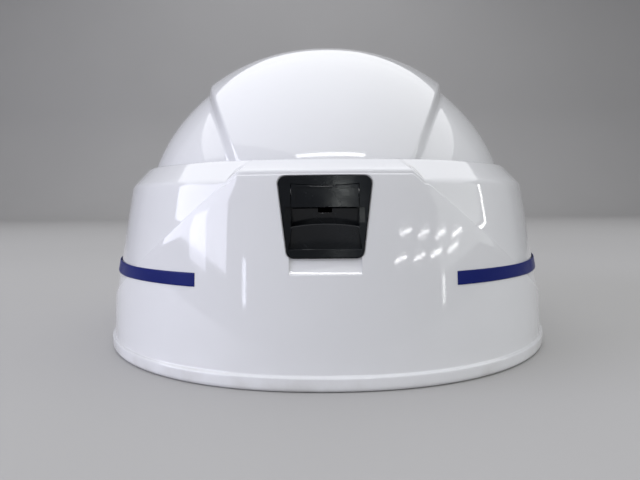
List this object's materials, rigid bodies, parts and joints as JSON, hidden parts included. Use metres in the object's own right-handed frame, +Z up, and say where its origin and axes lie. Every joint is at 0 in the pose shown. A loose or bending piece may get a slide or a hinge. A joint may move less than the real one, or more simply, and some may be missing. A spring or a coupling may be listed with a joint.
{
  "type": "safety helmet",
  "caption": "Collapsible work helmet: oval base shell with a dome that slides down into it, latches front and rear, headband, crown straps and chin strap.",
  "frame": {"origin": "middle of the bottom edge's plane, on the surface that the helmet stands on", "axes": "+Z up, -Y to the front of the helmet, +X to the right as seen from the front"},
  "size_m": [0.2164, 0.2762, 0.1435],
  "materials": {
    "white_shell": "gloss moulded ABS",
    "black_latch": "semi-gloss moulded plastic",
    "black_plastic": "fine matt texture",
    "grey_plastic": "satin polyethylene",
    "blue_tape": "gloss tape",
    "liner_foam": "expanded polystyrene beads",
    "pad_fabric": "knitted mesh",
    "webbing": "woven polyester",
    "steel": "zinc plated",
    "spring_steel": "plain spring strip"
  },
  "bodies": {
    "base": {"lower_shell": "white_shell", "harness_frame": "grey_plastic", "frame_screws": "steel", "headband": "grey_plastic", "band_rivets": "steel", "sweatband": "pad_fabric", "strap_hooks": "black_plastic", "crown_strap_long": "webbing", "crown_strap_left": "webbing", "crown_strap_right": "webbing", "crown_pad": "pad_fabric", "front_latch_housing": "black_latch", "rear_latch_housing": "black_latch", "front_latch_pin": "steel", "rear_latch_pin": "steel", "front_catch_spring": "spring_steel", "rear_catch_spring": "spring_steel", "latch_screws": "steel", "side_stripe_left": "blue_tape", "side_stripe_right": "blue_tape", "ear_straps_left": "webbing", "ear_straps_right": "webbing", "strap_rivets": "steel", "strap_dividers": "black_plastic", "chin_strap_left": "webbing", "chin_strap_right": "webbing", "buckle_socket": "black_plastic"},
    "dome": {"upper_shell": "white_shell", "impact_liner": "liner_foam"},
    "front_lever": {"front_latch_lever": "black_latch"},
    "rear_lever": {"rear_latch_lever": "black_latch"},
    "nape": {"nape_band": "grey_plastic", "nape_pad": "pad_fabric"},
    "tongue": {"buckle_tongue": "black_plastic"}
  },
  "joints": [
    {"name": "dome_slide", "type": "slide", "parent": "base", "child": "dome", "axis": [0, 0, 1], "range_m": [-0.063, 0], "deforming": ["crown_strap_long", "crown_strap_left", "crown_strap_right", "crown_pad", "front_catch_spring", "rear_catch_spring"]},
    {"name": "front_latch", "type": "hinge", "parent": "base", "child": "front_lever", "pos_m": [0, -0.12615, 0.06863], "axis": [-1, 0, 0], "range_deg": [0, 25], "stiffness_Nm_per_rad": 0.02, "springref_deg": -5.73, "deforming": ["front_catch_spring"]},
    {"name": "rear_latch", "type": "hinge", "parent": "base", "child": "rear_lever", "pos_m": [0, 0.12615, 0.06863], "axis": [1, 0, 0], "range_deg": [0, 25], "stiffness_Nm_per_rad": 0.02, "springref_deg": -5.73, "deforming": ["rear_catch_spring"]},
    {"name": "nape_adjust", "type": "slide", "parent": "base", "child": "nape", "axis": [0, 1, 0], "range_m": [-0.016, 0.003]},
    {"name": "buckle_release", "type": "slide", "parent": "base", "child": "tongue", "axis": [-1, 0, 0], "range_m": [0, 0.014], "deforming": ["chin_strap_left"]}
  ]
}
